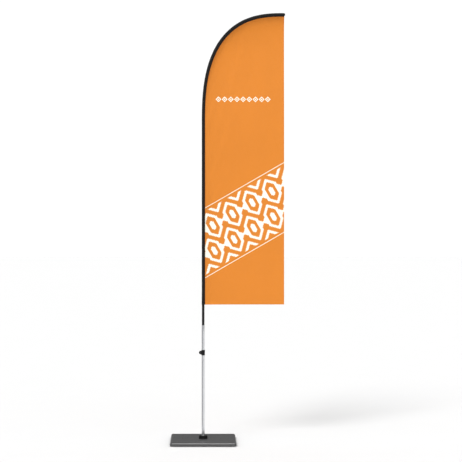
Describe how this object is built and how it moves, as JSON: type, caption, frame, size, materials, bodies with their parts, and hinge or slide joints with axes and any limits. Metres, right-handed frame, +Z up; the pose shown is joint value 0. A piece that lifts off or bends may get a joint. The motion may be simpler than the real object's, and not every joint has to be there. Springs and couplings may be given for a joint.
{
  "type": "feather flag",
  "caption": "Free-standing feather flag on a weighted square base: swivel hub, plug-together mast, arched tip rod, sleeve and printed panel.",
  "frame": {"origin": "on the floor under the mast's axis, at the centre of the base's underside", "axes": "+Z up along the mast, +X from the mast towards the flag's free edge, the flag lies in the XZ plane"},
  "size_m": [0.702, 0.4, 2.6275],
  "materials": {
    "base_shell": "satin moulded, dark grey",
    "black_moulding": "satin moulded, black",
    "foot_rubber": "matt",
    "ballast_iron": "rough cast, primed",
    "steel": "turned and ground",
    "pole_aluminium": "satin anodised",
    "pole_black": "satin fibre composite, black",
    "sleeve_fabric": "woven elastic polyester, black",
    "flag_fabric": "knitted flag polyester, orange with a white printed band"
  },
  "bodies": {
    "base": {"base_cover": "base_shell", "base_pan": "base_shell", "ballast_plate": "ballast_iron", "cover_screw_1": "steel", "cover_screw_2": "steel", "cover_screw_3": "steel", "cover_screw_4": "steel", "rubber_foot_1": "foot_rubber", "rubber_foot_2": "foot_rubber", "rubber_foot_3": "foot_rubber", "rubber_foot_4": "foot_rubber", "centre_plug": "foot_rubber", "hub_housing": "black_moulding", "hub_nut": "steel", "dust_seal": "foot_rubber", "lower_outer_race": "steel", "upper_outer_race": "steel"},
    "rotor": {"spindle": "steel", "lower_inner_race": "steel", "upper_inner_race": "steel", "bearing_spacer": "steel", "retaining_washer": "steel", "retaining_screw": "steel", "o_ring_1": "foot_rubber", "o_ring_2": "foot_rubber", "o_ring_3": "foot_rubber"},
    "lower_cage": {"lower_ball_cage": "steel"},
    "upper_cage": {"upper_ball_cage": "steel"},
    "lower_mast": {"lower_pole": "pole_aluminium", "depth_stop": "black_moulding"},
    "clamp": {"clamp_body": "black_moulding", "clamp_screw": "steel", "clamp_nut": "steel"},
    "upper_mast": {"middle_pole": "pole_black", "pole_ferrule": "steel", "tip_rod": "pole_black", "tip_cap": "black_moulding", "pole_sleeve": "sleeve_fabric", "flag_panel": "flag_fabric"}
  },
  "joints": [
    {"name": "hub_swivel", "type": "hinge", "parent": "base", "child": "rotor", "pos_m": [0, 0, 0.023], "axis": [0, 0, 1], "continuous": true},
    {"name": "lower_cage_spin", "type": "hinge", "parent": "base", "child": "lower_cage", "pos_m": [0, 0, 0.0142], "axis": [0, 0, 1], "continuous": true},
    {"name": "upper_cage_spin", "type": "hinge", "parent": "base", "child": "upper_cage", "pos_m": [0, 0, 0.0318], "axis": [0, 0, 1], "continuous": true},
    {"name": "mast_lift_off", "type": "slide", "parent": "rotor", "child": "lower_mast", "axis": [0, 0, 1], "range_m": [0, 0.18]},
    {"name": "upper_mast_pull_out", "type": "slide", "parent": "lower_mast", "child": "upper_mast", "axis": [0, 0, 1], "range_m": [0, 0.105]},
    {"name": "clamp_slide", "type": "slide", "parent": "lower_mast", "child": "clamp", "axis": [0, 0, 1], "range_m": [-0.48, 0.15]}
  ],
  "couplings": [
    {"joint": "lower_cage_spin", "follows": "hub_swivel", "ratio": 0.385},
    {"joint": "upper_cage_spin", "follows": "hub_swivel", "ratio": 0.385}
  ]
}
